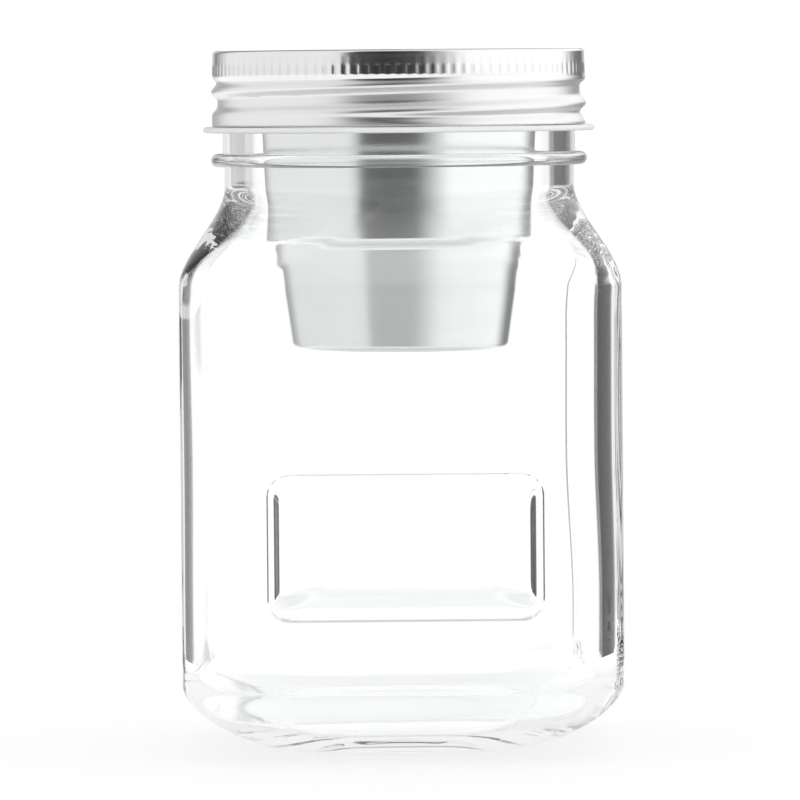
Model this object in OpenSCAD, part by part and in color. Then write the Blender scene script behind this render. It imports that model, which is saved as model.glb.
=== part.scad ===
// Square glass jar with a screw lid and a steel snack pot that hangs in its mouth.
// Origin at the centre of the base, +Z up, label panel on the -Y face, millimetres.

/* [Jar body] */
// Width across the flat sides
body_w = 84; // [76:0.5:96]
// Corner radius of the body, seen from above
body_corner = 16; // [12:0.5:24]
// Thickness of the glass wall
wall = 3.2; // [2.5:0.1:4.5]
// Height of the glass from the base to the rim
jar_h = 131.2; // [125:0.1:150]
// Width across the flats of the foot that the jar stands on
foot_w = 45; // [42:0.5:60]
// Corner radius of the foot, seen from above
foot_corner = 18; // [14:0.5:22]
// Height of the foot below the rounded heel
foot_h = 0.4; // [0.3:0.1:1]
// Height of the rounded heel
heel_h = 14; // [12:0.5:22]
// Fullness of the heel's curve, from near 1 for a plain slope to 2 for a full round
heel_fullness = 1.5; // [1.3:0.05:2]
// Height of the inside floor above the base
floor_z = 4.2; // [3.6:0.1:9]
// Radius of the flat, round inside floor
inside_floor_r = 22; // [16:0.5:28]
// Height of the rounded inside heel above the inside floor
inner_heel_h = 13.8; // [8:0.1:18]
// Width of the flat ring that the jar stands on, at the middle of a side
foot_ring_w = 5.5; // [4:0.5:10]
// Depth of the hollow under the base
push_up_depth = 1.2; // [0.8:0.1:2]

/* [Shoulder and neck] */
// Height of the shoulder, from the flat sides up to the neck
shoulder_h = 19.2; // [16:0.1:24]
// Distance from the rim down to the top of the shoulder
shoulder_drop = 22.3; // [21:0.1:26]
// Outside radius of the neck between bead and rim
neck_r = 34; // [30:0.1:38]
// Thickness of the glass in the neck
neck_wall = 4; // [3:0.1:5]
// Setback of the neck below the bead
neck_setback = 0.3; // [0:0.1:1]
// Rounding of the rim's edges
rim_round = 0.8; // [0.4:0.1:1.2]
// Distance that the bead stands out from the neck
bead_out = 2.3; // [1.5:0.1:3.5]
// Distance from the rim down to the middle of the bead
bead_drop = 17.5; // [16:0.1:18.5]
// Thickness of the bead
bead_t = 2.4; // [1.6:0.1:3.2]

/* [Screw thread] */
// Rise of the thread in one turn
pitch = 5.08; // [4.5:0.01:5.5]
// Turns of thread on the glass
thread_turns = 1.32; // [1.1:0.01:1.5]
// Height of the glass thread above the neck
thread_depth = 1.2; // [0.9:0.1:1.3]
// Width of the glass thread at its crest
thread_crest = 1; // [0.6:0.1:1.4]
// Width of the glass thread at its root
thread_root = 2.8; // [2:0.1:3.2]
// Distance from the rim down to the start of the thread
thread_drop = 9.3; // [8.8:0.1:10]
// Angle at which the thread starts, from +X
thread_start = 194; // [0:1:359]

/* [Label panel] */
// Distance from the panel's ends to the rounded corners of the body
panel_margin = 0.3; // [0:0.1:8]
// Height of the panel
panel_h = 27.9; // [20:0.1:36]
// Height of the panel's middle above the base
panel_z = 41.4; // [36:0.1:50]
// Corner radius of the panel
panel_corner = 4.4; // [3:0.1:6]
// Width of the step round the panel
panel_step = 1.4; // [0.8:0.1:2]
// Depth of the panel
panel_depth = 1.3; // [0.5:0.1:1.6]

/* [Snack pot] */
// Thickness of the pot's sheet steel
pot_sheet = 0.6; // [0.4:0.05:0.8]
// Gap between the pot's wall and the mouth
pot_gap = 3; // [2:0.1:5]
// Taper of the pot's wall above its step
pot_taper = 1.5; // [0.5:0.1:2.5]
// Width of the step
pot_step_w = 1.9; // [1:0.1:2.5]
// Height of the step's slope
pot_step_h = 1.3; // [0.8:0.1:2]
// Taper of the pot's wall below its step
pot_low_taper = 2.4; // [1:0.1:4]
// Distance from the top of the flange down to the step
pot_step_drop = 34.5; // [28:0.1:38]
// Depth of the pot from the top of the flange
pot_h = 55.3; // [48:0.1:60]
// Rounding between the pot's wall and bottom
pot_bottom_round = 1.2; // [1:0.1:4]
// Rounding between the pot's wall and flange
pot_flange_round = 1.6; // [1:0.1:2.2]

/* [Seals] */
// Thickness of each lip of the gasket round the pot's flange
gasket_lip = 0.7; // [0.5:0.05:1]
// Distance from the mouth out to the gasket's lips
gasket_set = 0.3; // [0:0.1:1]
// Distance that the gasket stands out past the neck
gasket_out = 0.2; // [0:0.1:0.5]
// Thickness of the gasket outside the pot's flange
gasket_web = 1; // [0.6:0.1:1.5]
// Thickness of the soft ring under the lid disc
disc_seal_t = 0.6; // [0.4:0.05:0.9]
// Width of the ring that sits on the neck below the lid
neck_ring_w = 3.7; // [3:0.1:5]
// Thickness of the ring on the neck
neck_ring_t = 1.1; // [0.8:0.05:1.4]

/* [Lid] */
// Thickness of the lid's sheet metal
lid_sheet = 0.4; // [0.3:0.05:0.5]
// Height of the screw band
band_h = 14.5; // [13:0.1:15.5]
// Width of the flange in the top of the band
band_flange_w = 5.1; // [3:0.1:8]
// Rounding of the band's top edge
band_round = 1.2; // [0.8:0.1:1.6]
// Height of the knurled strip
knurl_h = 4.3; // [3:0.1:4.6]
// Number of flutes in the knurled strip
knurl_count = 112; // [60:1:140]
// Depth of the flutes
knurl_depth = 0.22; // [0.1:0.01:0.3]
// Distance from the band's flange in to the raised panel of the lid disc
disc_panel_set = 3; // [1:0.5:10]
// Height of the raised panel in the lid disc
disc_panel_rise = 0.3; // [0.2:0.05:0.35]

/* [Fits] */
// Gap between faces that press together
seat_gap = 0.05; // [0.02:0.01:0.1]
// Gap between the neck ring and the glass or the lid
ring_gap = 0.12; // [0.08:0.01:0.25]
// Gap between the rolled thread and the glass
thread_gap = 0.6; // [0.4:0.05:0.8]
// Gap between the crest of the glass thread and the band's plain skirt
skirt_gap = 0.3; // [0.2:0.05:0.5]

/* [Hidden] */
$fn = 96;

sides = 96;
heel_steps = 8;
shoulder_steps = 12;
overlap = 2;
bite = 0.1;
tuck = 0.4;

body_half = body_w / 2;
foot_half = foot_w / 2;
push_up_r = foot_half - foot_ring_w;
panel_w = body_w - 2 * body_corner - 2 * panel_margin;
neck_low_r = neck_r - neck_setback;
mouth_r = neck_r - neck_wall;
bead_r = neck_r + bead_out;
shoulder_top = jar_h - shoulder_drop;
shoulder_foot = shoulder_top - shoulder_h;
bead_z = jar_h - bead_drop;
thread_z = jar_h - thread_drop;

pot_top_r = mouth_r - pot_gap;
pot_step_r = pot_top_r - pot_taper;
pot_low_r = pot_step_r - pot_step_w - pot_low_taper;
gasket_in_r = mouth_r + gasket_set;
gasket_out_r = neck_r + gasket_out;
pot_flange_r = gasket_out_r - gasket_web - seat_gap;
neck_ring_r = neck_r + ring_gap + neck_ring_w;

gasket_z = jar_h + seat_gap;
pot_flange_z = gasket_z + gasket_lip;
pot_top = pot_flange_z + pot_sheet;
gasket_top = pot_top + gasket_lip;
disc_seal_z = gasket_top + seat_gap;
disc_z = disc_seal_z + disc_seal_t;
disc_top = disc_z + lid_sheet;
band_flange_z = disc_top + seat_gap;
band_top = band_flange_z + lid_sheet;
band_foot = band_top - band_h;
knurl_top = band_top - band_round;
knurl_foot = knurl_top - knurl_h;
band_hollow_r = neck_r + thread_gap + lid_sheet;
band_crest_r = band_hollow_r + thread_depth;
band_r = neck_r + thread_depth + skirt_gap + lid_sheet;
knurl_root_r = band_r - knurl_depth;
crown_r = knurl_root_r - bite;
band_inner_r = crown_r - lid_sheet - bite;
band_open_r = crown_r - band_flange_w;
disc_r = crown_r - band_round - seat_gap;
disc_panel_r = band_open_r - disc_panel_set;
neck_ring_top = band_foot - ring_gap;

echo(total_height = band_top, pot_bottom = pot_top - pot_h, thread_bottom = thread_z);

function mix(a, b, t) = a + (b - a) * t;
function ease(t) = let (u = max(0, min(1, t))) u * u * (3 - 2 * u);

// Distance from the axis to a rounded square of half width a and corner radius r, at angle t.
function square_reach(a, r, t) =
    let (u = abs((t + 45) % 90 - 45), c = a - r, s = cos(u) + sin(u), d = cos(u) - sin(u))
    a * tan(u) <= c ? a / cos(u) : c * s + sqrt(max(0, r * r - c * c * d * d));

function centre_of(ring) = [for (i = [0 : 2]) [for (p = ring) p[i]] * [for (p = ring) 1 / len(ring)]];

function square_ring(a, r, z) =
    [for (i = [0 : sides - 1])
        let (t = i * 360 / sides, d = square_reach(a, r, t))
        [d * cos(t), d * sin(t), z]];

// Rings of half width, corner radius and height, from the foot up to the neck.
function heel_rings(low_half, low_corner, half, corner, z, h, fullness) =
    [for (i = [0 : heel_steps])
        let (
            u = 90 * i / heel_steps,
            out = pow(sin(u), 2 / fullness),
            up = 1 - pow(cos(u), 2 / fullness))
        [mix(low_half, half, out), mix(low_corner, corner, out), z + h * up]];

function shoulder_rings(half, corner, neck) =
    [for (i = [0 : shoulder_steps])
        let (t = i / shoulder_steps, s = ease(t), a = mix(half, neck + bite, s))
        [a, mix(corner, a, s), mix(shoulder_foot, shoulder_top, t)]];

function neck_end(r) = [[r - tuck, r - tuck, shoulder_top + tuck]];

// A closed skin over a stack of rings that all have the same number of points.
module loft(rings) {
    n = len(rings[0]);
    last = len(rings) - 1;
    low_mid = (last + 1) * n;
    high_mid = low_mid + 1;
    wall_faces = [for (k = [0 : last - 1], i = [0 : n - 1])
        let (j = (i + 1) % n, a = k * n + i, b = k * n + j, c = a + n, d = b + n)
        each [[a, c, d], [a, d, b]]];
    end_faces = [for (i = [0 : n - 1])
        let (j = (i + 1) % n)
        each [[low_mid, i, j], [high_mid, last * n + j, last * n + i]]];
    polyhedron(
        points = concat([for (r = rings) each r], [centre_of(rings[0]), centre_of(rings[last])]),
        faces = concat(wall_faces, end_faces));
}

module square_loft(list) {
    loft([for (r = list) square_ring(r[0], r[1], r[2])]);
}

module rounded_square(half, corner) {
    straight = half - corner;
    square([2 * half, 2 * straight], center = true);
    square([2 * straight, 2 * half], center = true);
    for (x = [-1, 1], y = [-1, 1])
        translate([x * straight, y * straight])
            circle(corner);
}

module rounded_panel(w, h, corner) {
    square([w, h - 2 * corner], center = true);
    square([w - 2 * corner, h], center = true);
    for (x = [-1, 1], y = [-1, 1])
        translate([x * (w / 2 - corner), y * (h / 2 - corner)])
            circle(corner);
}

module jar_outside() {
    linear_extrude(foot_h + overlap)
        rounded_square(foot_half - bite, foot_corner - bite);
    square_loft(concat(
        heel_rings(foot_half, foot_corner, body_half, body_corner,
            foot_h, heel_h - foot_h, heel_fullness),
        shoulder_rings(body_half, body_corner, neck_low_r),
        neck_end(neck_low_r)));
}

module neck_outside() {
    low = shoulder_top - overlap;
    rotate_extrude()
        union() {
            translate([mouth_r - wall, low])
                square([neck_low_r - mouth_r + wall, bead_z - low]);
            translate([mouth_r - wall, bead_z])
                square([neck_r - mouth_r + wall, jar_h - rim_round - bead_z]);
            translate([mouth_r + rim_round, jar_h - rim_round])
                square([neck_r - mouth_r - 2 * rim_round, rim_round]);
            for (x = [mouth_r + rim_round, neck_r - rim_round])
                translate([x, jar_h - rim_round])
                    circle(rim_round);
            translate([neck_r - wall, bead_z - bead_t / 2])
                square([bead_r - neck_r + wall - bead_t / 2, bead_t]);
            translate([bead_r - bead_t / 2, bead_z])
                circle(bead_t / 2);
        }
}

module jar_inside() {
    inner_half = body_half - wall;
    inner_corner = body_corner - wall;
    square_loft(concat(
        heel_rings(inside_floor_r, inside_floor_r, inner_half, inner_corner, floor_z, inner_heel_h, 2),
        shoulder_rings(inner_half, inner_corner, mouth_r),
        neck_end(mouth_r)));
    translate([0, 0, shoulder_top - overlap])
        cylinder(r = mouth_r, h = shoulder_drop + 2 * overlap);
}

module push_up() {
    dome_r = (push_up_r * push_up_r + push_up_depth * push_up_depth) / (2 * push_up_depth);
    translate([0, 0, push_up_depth - dome_r])
        sphere(dome_r);
}

module label_panel() {
    translate([0, -body_half + panel_depth, panel_z])
        rotate([90, 0, 0]) {
            linear_extrude(panel_depth + overlap)
                rounded_panel(panel_w - 2 * panel_step, panel_h - 2 * panel_step, panel_corner - panel_step);
            translate([0, 0, panel_depth / 2])
                linear_extrude(panel_depth + overlap)
                    rounded_panel(panel_w, panel_h, panel_corner);
        }
}

// The helical ridge on the glass. It rises out of the neck and sinks back into it at its ends.
module glass_thread() {
    steps = 60;
    run_out = 0.12;
    buried_r = neck_r - bite - tuck;
    rings = [for (i = [0 : steps])
        let (u = i / steps,
             t = thread_start + 360 * thread_turns * u,
             z = thread_z + pitch * thread_turns * u,
             lift = ease(min(u, 1 - u) / run_out),
             crest_r = mix(neck_r - bite, neck_r + thread_depth, lift))
        [for (p = [[buried_r, -thread_root / 2], [buried_r, thread_root / 2],
                   [crest_r, thread_crest / 2], [crest_r, -thread_crest / 2]])
            [p[0] * cos(t), p[0] * sin(t), z + p[1]]]];
    loft(rings);
}

module glass_jar() {
    color("lightcyan", 0.4)
        difference() {
            union() {
                jar_outside();
                neck_outside();
                glass_thread();
            }
            jar_inside();
            push_up();
            label_panel();
        }
}

module neck_ring() {
    color("whitesmoke")
        translate([0, 0, neck_ring_top - neck_ring_t])
            difference() {
                cylinder(r = neck_ring_r, h = neck_ring_t);
                translate([0, 0, -overlap])
                    cylinder(r = neck_r + ring_gap, h = neck_ring_t + 2 * overlap);
            }
}

// Outline of the solid pot from its axis out to the wall, drawn in by a sheet thickness s.
module pot_outline(s) {
    bottom = -pot_h + s;
    step_top = -pot_step_drop;
    step_low = step_top - pot_step_h;
    round_r = pot_bottom_round - s;
    wall_foot = -pot_h + pot_bottom_round;
    low_r = pot_low_r - s;
    union() {
        polygon([
            [0, bottom],
            [low_r - round_r, bottom],
            [low_r - round_r, wall_foot],
            [low_r, wall_foot],
            [pot_step_r - pot_step_w - s, step_low],
            [pot_step_r - s, step_top],
            [pot_top_r - s, 0],
            [0, 0]]);
        translate([low_r - round_r, wall_foot])
            circle(round_r);
    }
}

module pot_flange() {
    r = pot_flange_round;
    difference() {
        translate([0, -pot_sheet - r])
            square([pot_flange_r, pot_sheet + r]);
        translate([pot_top_r + r, -pot_sheet - 2 * r])
            square([pot_flange_r, 2 * r]);
        translate([pot_top_r + r, -pot_sheet - r])
            circle(r);
    }
}

module snack_pot() {
    inner_round = pot_flange_round + pot_sheet;
    color("silver")
        translate([0, 0, pot_top])
            rotate_extrude()
                difference() {
                    union() {
                        pot_outline(0);
                        pot_flange();
                    }
                    pot_outline(pot_sheet);
                    difference() {
                        translate([0, -inner_round])
                            square([pot_top_r - pot_sheet + inner_round, inner_round + overlap]);
                        translate([pot_top_r - pot_sheet + inner_round, -inner_round])
                            circle(inner_round);
                    }
                }
}

module pot_gasket() {
    color("gainsboro")
        rotate_extrude()
            difference() {
                translate([gasket_in_r, gasket_z])
                    square([gasket_out_r - gasket_in_r, gasket_top - gasket_z]);
                translate([gasket_in_r - overlap, pot_flange_z])
                    square([pot_flange_r + seat_gap - gasket_in_r + overlap, pot_sheet]);
            }
}

module lid_disc() {
    color("lightgray")
        rotate_extrude()
            union() {
                translate([disc_panel_r, disc_z])
                    square([disc_r - disc_panel_r, lid_sheet]);
                translate([0, disc_z + disc_panel_rise])
                    square([disc_panel_r + lid_sheet, lid_sheet]);
            }
}

module disc_seal() {
    color("dimgray")
        translate([0, 0, disc_seal_z])
            difference() {
                cylinder(r = gasket_out_r, h = disc_seal_t);
                translate([0, 0, -overlap])
                    cylinder(r = gasket_in_r, h = disc_seal_t + 2 * overlap);
            }
}

// Outside radius of the threaded skirt at angle t and height z. The wave dies out at its foot and at the knurl.
function skirt_reach(t, z) =
    let (phase = z - thread_z - pitch * (t - thread_start) / 360,
         middle = (band_crest_r + band_hollow_r) / 2,
         depth = (band_crest_r - band_hollow_r) / 2,
         wave = middle + depth * cos(360 * phase / pitch),
         above_foot = ease((z - band_foot) / pitch * 4),
         below_knurl = ease((knurl_foot - z) / pitch * 5))
    mix(crown_r, mix(band_r - bite, wave, above_foot), below_knurl);

module threaded_skirt() {
    rows = 18;
    around = 72;
    high = knurl_foot + tuck;
    heights = [for (k = [0 : rows]) mix(band_foot, high, k / rows)];
    profile = concat([for (z = heights) [0, z]], [for (k = [rows : -1 : 0]) [lid_sheet, heights[k]]]);
    n = len(profile);
    points = [for (i = [0 : around - 1], p = profile)
        let (t = i * 360 / around, d = skirt_reach(t, p[1]) - p[0])
        [d * cos(t), d * sin(t), p[1]]];
    faces = [for (i = [0 : around - 1], k = [0 : n - 1])
        let (j = (i + 1) % around, m = (k + 1) % n,
             a = i * n + k, b = i * n + m, c = j * n + m, d = j * n + k)
        each [[a, b, c], [a, c, d]]];
    polyhedron(points = points, faces = faces);
}

module knurled_strip() {
    flutes = [for (i = [0 : 2 * knurl_count - 1])
        let (t = i * 180 / knurl_count, d = band_r - (i % 2) * knurl_depth)
        [d * cos(t), d * sin(t)]];
    translate([0, 0, knurl_foot])
        linear_extrude(knurl_h)
            difference() {
                polygon(flutes);
                circle(band_inner_r);
            }
}

module band_crown() {
    middle_r = crown_r - band_round;
    inner_round = band_round - lid_sheet;
    rotate_extrude()
        difference() {
            union() {
                translate([band_open_r, band_flange_z])
                    square([middle_r - band_open_r, lid_sheet]);
                translate([middle_r, knurl_top])
                    circle(band_round);
            }
            translate([middle_r, knurl_top])
                circle(inner_round);
            translate([middle_r - 2 * band_round, knurl_top - 2 * band_round])
                square([4 * band_round, 2 * band_round - bite]);
            translate([middle_r - 2 * band_round, knurl_top - band_round])
                square([2 * band_round, band_flange_z - knurl_top + band_round]);
        }
}

module screw_band() {
    color("silver")
        union() {
            band_crown();
            knurled_strip();
            threaded_skirt();
        }
}

glass_jar();
neck_ring();
snack_pot();
pot_gasket();
lid_disc();
disc_seal();
screw_band();
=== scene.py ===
"""Dressed scene of a square glass jar with a screw lid and a steel pot that hangs in its mouth."""

import logging
import math
from dataclasses import dataclass
from enum import Enum
from typing import Callable, Iterator, Sequence

import bmesh
import bpy
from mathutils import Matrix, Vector


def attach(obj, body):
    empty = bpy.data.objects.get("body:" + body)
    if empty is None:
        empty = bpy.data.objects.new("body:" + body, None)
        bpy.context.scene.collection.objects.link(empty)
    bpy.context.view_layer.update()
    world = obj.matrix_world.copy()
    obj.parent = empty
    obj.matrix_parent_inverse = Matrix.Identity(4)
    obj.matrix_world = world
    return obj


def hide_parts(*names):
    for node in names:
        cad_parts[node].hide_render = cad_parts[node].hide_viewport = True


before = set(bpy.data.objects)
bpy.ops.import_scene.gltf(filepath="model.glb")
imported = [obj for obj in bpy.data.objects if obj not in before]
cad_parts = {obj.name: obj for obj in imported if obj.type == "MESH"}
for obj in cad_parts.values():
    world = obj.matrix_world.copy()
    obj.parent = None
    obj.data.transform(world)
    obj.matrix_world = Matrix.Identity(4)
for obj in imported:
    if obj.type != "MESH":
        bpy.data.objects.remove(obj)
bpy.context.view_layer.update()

LOG = logging.getLogger("snack_jar")
MM = 0.001
Place = Callable[[float], Vector]
Point = tuple[float, float, float]
Colour = tuple[float, float, float]
Span = tuple[float, float]
Card = tuple[float, float]
Piece = bpy.types.Object
Socket = bpy.types.NodeSocket
Sockets = bpy.types.bpy_prop_collection
Inputs = dict[str | int, object]


class Body(Enum):
    """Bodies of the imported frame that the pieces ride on."""

    JAR = "jar"
    POT = "pot"
    DISC = "disc"
    BAND = "band"


class Wall(Enum):
    """The two faces of the jar's glass wall."""

    OUTSIDE = "outside"
    INSIDE = "inside"


def mix(low: float, high: float, share: float) -> float:
    """Returns the value that lies a share of the way from low to high."""
    return low + (high - low) * share


def ease(share: float) -> float:
    """Returns a smooth step of a share that is held between 0 and 1."""
    held = max(0.0, min(1.0, share))
    return held * held * (3.0 - 2.0 * held)


def spread(low: float, high: float, count: int) -> list[float]:
    """Returns evenly spaced values from low to high, with both ends."""
    return [mix(low, high, i / count) for i in range(count + 1)]


def square_reach(half: float, corner: float, angle: float) -> float:
    """Finds how far a rounded square reaches from its middle.

    Args:
        half: Half the width across the flats.
        corner: Corner radius, equal to half for a circle.
        angle: Direction in radians, from +X.

    Returns:
        The distance from the middle to the outline.
    """
    quarter = math.pi / 2.0
    turn = abs((angle + quarter / 2.0) % quarter - quarter / 2.0)
    flat = half - corner
    if half * math.tan(turn) <= flat:
        return half / math.cos(turn)
    along = math.cos(turn) + math.sin(turn)
    across = math.cos(turn) - math.sin(turn)
    return flat * along + math.sqrt(max(0.0, corner**2 - (flat * across) ** 2))


class RingSkin:
    """A skin grown ring by ring: each ring is extruded from the last one and then set in place."""

    def __init__(self, angles: Sequence[float]) -> None:
        """Starts the skin with a circle.

        Args:
            angles: Direction of each column of the skin, in radians.
        """
        self.mesh = bmesh.new()
        # The hollow layer holds, for each point, the share of painted shade that a finish mixes in.
        for layer in ("turn", "hollow"):
            self.mesh.verts.layers.float.new(layer)
        self.turn = self.mesh.verts.layers.float["turn"]
        self.hollow = self.mesh.verts.layers.float["hollow"]
        made = bmesh.ops.create_circle(self.mesh, cap_ends=False, segments=len(angles), radius=1.0)
        self.ring = list(made["verts"])
        for vert, angle in zip(self.ring, angles):
            vert[self.turn] = angle
        self.edges = list(self.mesh.edges)
        self.first = (list(self.ring), list(self.edges))

    def set_ring(self, place: Place) -> None:
        """Moves the newest ring to where place puts each of its directions."""
        for vert in self.ring:
            vert.co = place(vert[self.turn])

    def grow(self, place: Place) -> None:
        """Extrudes the newest ring and sets the new one in place.

        Args:
            place: The rule that places the new ring.
        """
        grown = bmesh.ops.extrude_edge_only(self.mesh, edges=self.edges)["geom"]
        self.ring = [item for item in grown if isinstance(item, bmesh.types.BMVert)]
        fresh = set(self.ring)
        edges = [item for item in grown if isinstance(item, bmesh.types.BMEdge)]
        self.edges = [edge for edge in edges if set(edge.verts) <= fresh]
        self.set_ring(place)

    def close_at(self, point: Vector) -> None:
        """Draws the newest ring together into one point."""
        self.grow(lambda angle: point)
        bmesh.ops.pointmerge(self.mesh, verts=self.ring, merge_co=point)

    def back_to_start(self) -> None:
        """Goes on from the first ring again."""
        self.ring, self.edges = self.first

    def join_ends(self) -> None:
        """Joins the newest ring to the first one."""
        bmesh.ops.bridge_loops(self.mesh, edges=self.edges + self.first[1])


@dataclass(frozen=True)
class Corner:
    """One corner of a turned outline, in millimetres, with the rounding that it gets."""

    reach: float
    height: float
    rounding: float = 0.0
    segments: int = 5


class Lathe:
    """Turns an outline of a few corners about the jar's axis."""

    steps = 144

    def turn(self, corners: Sequence[Corner], closed: bool) -> bmesh.types.BMesh:
        """Rounds an outline's corners and spins it into a skin.

        Args:
            corners: The outline, in order.
            closed: True where the outline runs back to its start.

        Returns:
            The turned skin, with its faces outwards.
        """
        mesh = bmesh.new()
        verts = [mesh.verts.new((c.reach * MM, 0.0, c.height * MM)) for c in corners]
        ends = verts[1:] + verts[:1] if closed else verts[1:]
        for start, end in zip(verts, ends):
            mesh.edges.new((start, end))
        for corner, vert in zip(corners, verts):
            if corner.rounding > 0.0:
                bmesh.ops.bevel(
                    mesh,
                    geom=[vert],
                    offset=corner.rounding * MM,
                    offset_type="OFFSET",
                    affect="VERTICES",
                    segments=corner.segments,
                    profile=0.5,
                    material=-1,
                )
        bmesh.ops.spin(
            mesh,
            geom=mesh.verts[:] + mesh.edges[:],
            cent=(0.0, 0.0, 0.0),
            axis=(0.0, 0.0, 1.0),
            angle=2.0 * math.pi,
            steps=self.steps,
            use_merge=True,
        )
        return mesh


def make_piece(name: str, mesh: bmesh.types.BMesh, body: Body, node: str, sharp: float = 40.0) -> Piece:
    """Turns a bmesh into a piece that stands for a CAD node.

    Args:
        name: Name of the new object.
        mesh: The shape, which is freed here.
        body: The body that the piece rides on.
        node: The CAD node that the piece replaces.
        sharp: Angle in degrees above which an edge stays sharp.

    Returns:
        The new object.
    """
    bmesh.ops.remove_doubles(mesh, verts=mesh.verts[:], dist=1e-7)
    bmesh.ops.recalc_face_normals(mesh, faces=mesh.faces[:])
    for face in mesh.faces:
        face.smooth = True
    data = bpy.data.meshes.new(name)
    mesh.to_mesh(data)
    mesh.free()
    data.set_sharp_from_angle(angle=math.radians(sharp))
    piece = bpy.data.objects.new(name, data)
    bpy.context.scene.collection.objects.link(piece)
    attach(piece, body.value)
    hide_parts(node)
    LOG.info("built %s with %d faces", name, len(data.polygons))
    return piece


class Desk:
    """A node tree with short calls that add its nodes and link them."""

    def __init__(self, tree: bpy.types.NodeTree) -> None:
        """Takes a tree and clears it."""
        self.tree = tree
        tree.nodes.clear()

    def add(self, kind: str, inputs: Inputs | None = None, **settings: object) -> bpy.types.Node:
        """Adds a node.

        Args:
            kind: The node's type, such as ShaderNodeMath.
            inputs: A socket to link or a constant to set, by the input's name or number.
            **settings: The node's own settings.

        Returns:
            The new node.
        """
        node = self.tree.nodes.new(kind)
        for key, value in settings.items():
            setattr(node, key, value)
        for key, item in (inputs or {}).items():
            if isinstance(item, bpy.types.NodeSocket):
                self.tree.links.new(item, node.inputs[key])
            else:
                node.inputs[key].default_value = item
        return node

    def math(self, operation: str, first: object, second: object = 0.0) -> Socket:
        """Adds a math node for two sockets or numbers and returns its result."""
        return self.add("ShaderNodeMath", {0: first, 1: second}, operation=operation).outputs[0]

    def blend(self, share: object, low: object, high: object) -> Socket:
        """Adds a mix of two values and returns it, with the share that the second one has."""
        return self.add("ShaderNodeMix", {0: share, 2: low, 3: high}, data_type="FLOAT").outputs[0]

    def tint(self, share: Socket, low: object, high: Colour) -> Socket:
        """Adds a mix of two colours, the first of which may be a socket, and returns it."""
        first = low if isinstance(low, bpy.types.NodeSocket) else (*low, 1.0)
        return self.add("ShaderNodeMix", {0: share, 6: first, 7: (*high, 1.0)}, data_type="RGBA").outputs[2]

    def painted_shade(self, plain: Socket, colour: Colour) -> Socket:
        """Mixes a colour of painted shade in where the piece's hollow attribute is high, and returns the
        mix.
        """
        share = self.add("ShaderNodeAttribute", attribute_name="hollow").outputs["Fac"]
        return self.tint(share, plain, colour)

    def smooth(self, source: Socket, span: Span) -> Socket:
        """Adds a smooth step that is 0 at the span's start and 1 at its end, and returns it."""
        inputs = {"Value": source, "From Min": span[0], "From Max": span[1]}
        return self.add("ShaderNodeMapRange", inputs, interpolation_type="SMOOTHSTEP").outputs["Result"]

    def ranged(self, mask: Socket, span: Span) -> Socket:
        """Spreads a 0 to 1 mask over a span and returns it."""
        inputs = {"Value": mask, "To Min": span[0], "To Max": span[1]}
        return self.add("ShaderNodeMapRange", inputs).outputs["Result"]

    def bump(self, height: Socket, strength: float, distance: float) -> Socket:
        """Turns a height mask into a normal, with the bump's distance in millimetres."""
        inputs = {"Height": height, "Strength": strength, "Distance": distance * MM}
        return self.add("ShaderNodeBump", inputs).outputs["Normal"]

    def noise(self, where: Socket, scale: object, detail: float, rough: float) -> Socket:
        """Adds a noise mask and returns it."""
        inputs = {"Vector": where, "Scale": scale, "Detail": detail, "Roughness": rough}
        return self.add("ShaderNodeTexNoise", inputs).outputs["Fac"]

    def vector(self, operation: str, inputs: Inputs, output: str = "Vector") -> Socket:
        """Adds a vector math node and returns one of its outputs."""
        return self.add("ShaderNodeVectorMath", inputs, operation=operation).outputs[output]

    def place(self) -> Socket:
        """Returns the place on the piece, in metres."""
        return self.add("ShaderNodeTexCoord").outputs["Object"]

    def parts(self, vector: Socket) -> Sockets:
        """Returns the X, Y and Z of a vector."""
        return self.add("ShaderNodeSeparateXYZ", {0: vector}).outputs

    def group(self, tree: bpy.types.NodeTree, inputs: Inputs) -> Sockets:
        """Places a shared node group and returns its outputs."""
        return self.add("ShaderNodeGroup", inputs, node_tree=tree).outputs


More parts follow.
